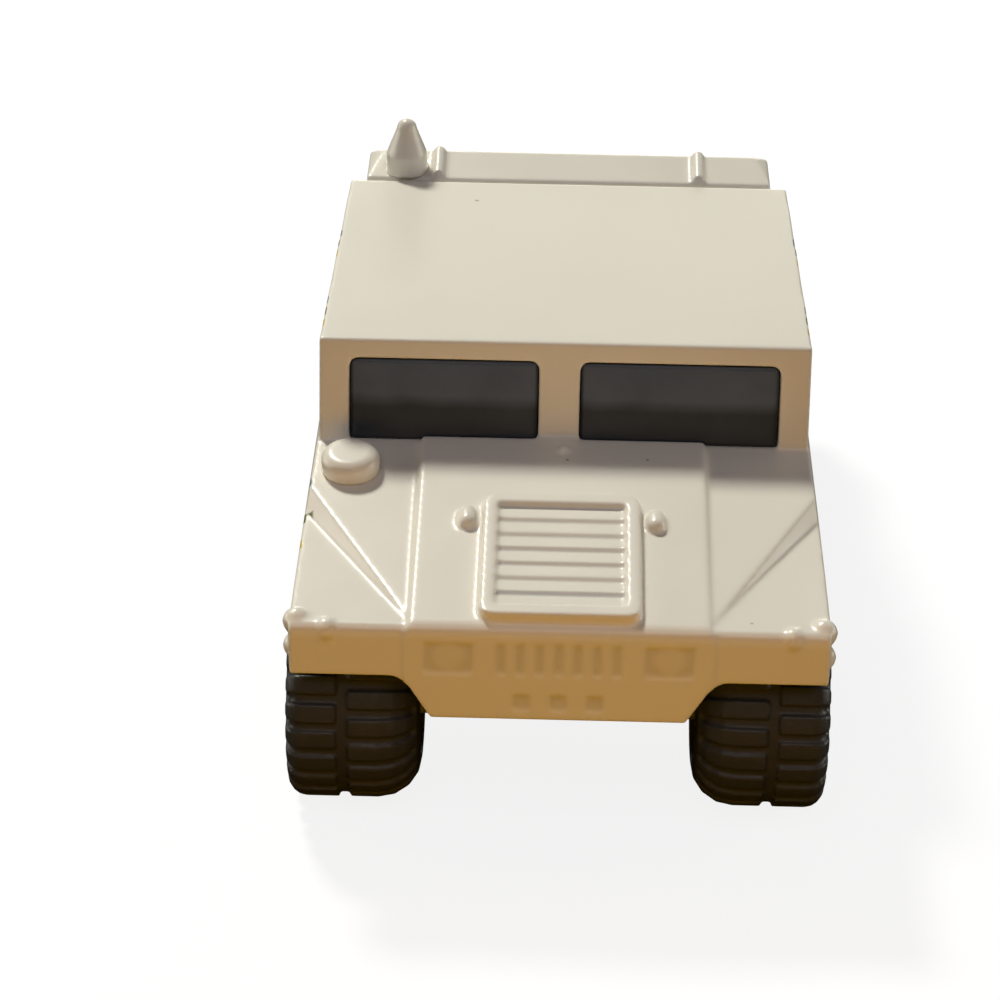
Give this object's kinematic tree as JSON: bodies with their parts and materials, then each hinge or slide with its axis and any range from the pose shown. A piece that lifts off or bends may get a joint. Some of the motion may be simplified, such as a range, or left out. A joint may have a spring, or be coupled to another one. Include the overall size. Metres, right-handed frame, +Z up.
{
  "type": "toy utility truck",
  "caption": "Die-cast toy utility truck with a louvred hood, split windshield, slant-backed cargo cover and freely rolling chunky wheels.",
  "frame": {"origin": "centre of the footprint at ground level, where the tyres stand", "axes": "+Z up, the front of the truck faces -Y, +X is the vehicle's left side"},
  "size_m": [0.0356, 0.064, 0.0309],
  "materials": {
    "paint_white": "glossy off-white paint",
    "cover_white": "glossy off-white moulding",
    "glazing_smoke": "dark smoked, glossy",
    "tub_black": "matte black",
    "base_black": "satin black",
    "steel": "bright drawn wire",
    "tyre_black": "satin black with a brown tint",
    "rim_grey": "grey, slightly metallic"
  },
  "bodies": {
    "truck": {"body_shell": "paint_white", "intake_cap": "cover_white", "cargo_cover": "cover_white", "antenna": "cover_white", "window_glazing": "glazing_smoke", "interior_tub": "tub_black", "base_plate": "base_black", "front_axle": "steel", "rear_axle": "steel", "front_axle_clip": "tub_black", "rear_axle_clip": "tub_black", "front_screw": "steel", "rear_screw": "steel"},
    "wheel_front_left": {"tyre_front_left": "tyre_black", "rim_front_left": "rim_grey"},
    "wheel_front_right": {"tyre_front_right": "tyre_black", "rim_front_right": "rim_grey"},
    "wheel_rear_left": {"tyre_rear_left": "tyre_black", "rim_rear_left": "rim_grey"},
    "wheel_rear_right": {"tyre_rear_right": "tyre_black", "rim_rear_right": "rim_grey"}
  },
  "joints": [
    {"name": "roll_front_left", "type": "hinge", "parent": "truck", "child": "wheel_front_left", "pos_m": [0.01335, -0.0237, 0.00735], "axis": [1, 0, 0], "continuous": true},
    {"name": "roll_front_right", "type": "hinge", "parent": "truck", "child": "wheel_front_right", "pos_m": [-0.01335, -0.0237, 0.00735], "axis": [1, 0, 0], "continuous": true},
    {"name": "roll_rear_left", "type": "hinge", "parent": "truck", "child": "wheel_rear_left", "pos_m": [0.01335, 0.0217, 0.00735], "axis": [1, 0, 0], "continuous": true},
    {"name": "roll_rear_right", "type": "hinge", "parent": "truck", "child": "wheel_rear_right", "pos_m": [-0.01335, 0.0217, 0.00735], "axis": [1, 0, 0], "continuous": true}
  ]
}
